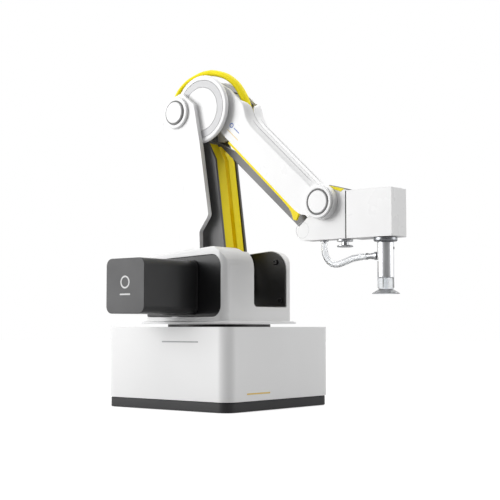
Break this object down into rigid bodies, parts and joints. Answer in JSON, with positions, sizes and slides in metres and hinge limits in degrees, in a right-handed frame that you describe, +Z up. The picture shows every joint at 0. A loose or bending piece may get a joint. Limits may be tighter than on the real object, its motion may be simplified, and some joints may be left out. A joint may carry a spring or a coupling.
{
  "type": "desktop robot arm",
  "caption": "Small white desktop robot arm on a square base, with a turning turret, two parallel-link arm sections, a level hand and a suction tool.",
  "frame": {"origin": "centre of the base's underside, on the surface it stands on", "axes": "+Z up, +X the way the arm reaches at rest, +Y the robot's left"},
  "size_m": [0.2616, 0.204, 0.3233],
  "materials": {
    "white_shell": "fine-textured white plastic",
    "dark_plinth": "dark grey plastic",
    "gloss_black": "glossy black plastic",
    "cover_grey": "dark grey plastic with a satin face and glossy sides",
    "black_part": "black plastic",
    "arm_grey": "dark grey painted metal",
    "yellow_frame": "yellow painted metal",
    "yellow_sleeve": "bright yellow braided sleeve",
    "ring_grey": "light grey plastic",
    "steel": "turned steel",
    "motor_body": "black stepper motor",
    "rubber": "black rubber",
    "clear_soft": "clear silicone",
    "board": "green circuit board",
    "white_metal": "white painted metal",
    "lamp": "green lamp lens"
  },
  "bodies": {
    "base": {"base_shell": "white_shell", "base_tray": "dark_plinth", "rubber_foot_1": "rubber", "rubber_foot_2": "rubber", "rubber_foot_3": "rubber", "rubber_foot_4": "rubber", "yaw_motor": "motor_body", "yaw_bearing": "steel", "main_board": "board", "rear_panel": "dark_plinth", "power_socket": "black_part", "usb_socket": "steel", "status_light": "lamp"},
    "power_button": {"power_button": "ring_grey"},
    "key_button": {"key_button": "ring_grey"},
    "turret": {"turret_shell": "white_shell", "turret_neck": "black_part", "right_side_panel": "gloss_black", "right_motor_cover": "cover_grey", "left_motor_cover": "cover_grey", "right_motor": "motor_body", "left_motor": "motor_body", "right_slot_liner": "black_part", "left_slot_liner": "black_part", "liner_screw_upper": "steel", "liner_screw_lower": "steel", "level_anchor": "arm_grey"},
    "rear_arm": {"rear_arm_right_plate": "arm_grey", "rear_arm_left_plate": "arm_grey", "rear_arm_channel": "yellow_frame", "shoulder_shaft": "steel", "elbow_shaft": "steel", "cable_sleeve_rear": "yellow_sleeve"},
    "level_plate": {"level_plate": "arm_grey"},
    "level_rod": {"rear_level_rod": "arm_grey"},
    "level_link": {"level_link": "arm_grey"},
    "crank": {"forearm_crank": "steel", "crank_pin": "steel"},
    "link_pin": {"link_pin_cap": "white_metal"},
    "drive_link": {"drive_link": "white_shell"},
    "forearm": {"forearm_right_shell": "white_shell", "forearm_left_shell": "white_shell", "forearm_inner_frame": "yellow_frame", "elbow_disc": "white_shell", "elbow_ring": "ring_grey", "cable_sleeve_front": "yellow_sleeve", "wrist_cap_right": "white_shell", "wrist_ring": "arm_grey", "wrist_cap_left": "white_shell"},
    "hand": {"hand_block": "white_shell", "servo_housing": "white_shell", "tool_servo": "black_part", "air_nozzle": "steel", "air_tube": "clear_soft"},
    "lock_knob": {"lock_knob": "steel"},
    "tool": {"tool_flange": "steel", "tool_tube": "steel", "tube_barb": "steel", "clear_collar": "clear_soft", "suction_cup": "clear_soft"}
  },
  "joints": [
    {"name": "base_yaw", "type": "hinge", "parent": "base", "child": "turret", "pos_m": [0, 0, 0], "axis": [0, 0, 1], "range_deg": [-135, 135]},
    {"name": "shoulder", "type": "hinge", "parent": "turret", "child": "rear_arm", "pos_m": [-0.007, 0, 0.1085], "axis": [0, 1, 0], "range_deg": [0, 55], "deforming": ["cable_sleeve_rear"]},
    {"name": "level_plate_pivot", "type": "hinge", "parent": "rear_arm", "child": "level_plate", "pos_m": [-0.0227, 0, 0.2818], "axis": [0, 1, 0], "range_deg": [-55, 0]},
    {"name": "forearm_pitch", "type": "hinge", "parent": "level_plate", "child": "forearm", "pos_m": [-0.0227, 0, 0.2818], "axis": [0, 1, 0], "range_deg": [-34, 20], "deforming": ["cable_sleeve_front"]},
    {"name": "wrist_level", "type": "hinge", "parent": "forearm", "child": "hand", "pos_m": [0.1115, 0, 0.1832], "axis": [0, 1, 0], "range_deg": [-20, 34]},
    {"name": "level_link_pivot", "type": "hinge", "parent": "level_plate", "child": "level_link", "pos_m": [-0.0457, 0, 0.2583], "axis": [0, 1, 0], "range_deg": [-34, 20]},
    {"name": "level_rod_pivot", "type": "hinge", "parent": "turret", "child": "level_rod", "pos_m": [-0.018, 0, 0.1195], "axis": [0, 1, 0], "range_deg": [0, 55]},
    {"name": "crank_turn", "type": "hinge", "parent": "turret", "child": "crank", "pos_m": [-0.007, 0, 0.1085], "axis": [0, 1, 0], "range_deg": [-34, 20]},
    {"name": "link_pin_turn", "type": "hinge", "parent": "forearm", "child": "link_pin", "pos_m": [-0.0491, 0, 0.2804], "axis": [0, 1, 0], "range_deg": [-20, 34]},
    {"name": "drive_link_pivot", "type": "hinge", "parent": "link_pin", "child": "drive_link", "pos_m": [-0.0491, 0, 0.2804], "axis": [0, 1, 0], "range_deg": [0, 55]},
    {"name": "tool_turn", "type": "hinge", "parent": "hand", "child": "tool", "pos_m": [0.1721, 0.019, 0.149], "axis": [0, 0, 1], "range_deg": [-60, 60], "deforming": ["air_tube"]},
    {"name": "lock_knob_turn", "type": "hinge", "parent": "hand", "child": "lock_knob", "pos_m": [0.1302, 0.019, 0.145], "axis": [0, 0, 1], "range_deg": [-180, 180]},
    {"name": "power_press", "type": "slide", "parent": "base", "child": "power_button", "axis": [1, 0, 0], "range_m": [0, 0.001], "stiffness_N_per_m": 400, "springref_m": -0.0005},
    {"name": "key_press", "type": "slide", "parent": "base", "child": "key_button", "axis": [1, 0, 0], "range_m": [0, 0.0008], "stiffness_N_per_m": 400, "springref_m": -0.0005}
  ],
  "couplings": [
    {"joint": "level_plate_pivot", "follows": "shoulder", "ratio": -1},
    {"joint": "level_rod_pivot", "follows": "shoulder", "ratio": 1},
    {"joint": "drive_link_pivot", "follows": "shoulder", "ratio": 1},
    {"joint": "wrist_level", "follows": "forearm_pitch", "ratio": -1},
    {"joint": "level_link_pivot", "follows": "forearm_pitch", "ratio": 1},
    {"joint": "crank_turn", "follows": "forearm_pitch", "ratio": 1},
    {"joint": "link_pin_turn", "follows": "forearm_pitch", "ratio": -1}
  ]
}
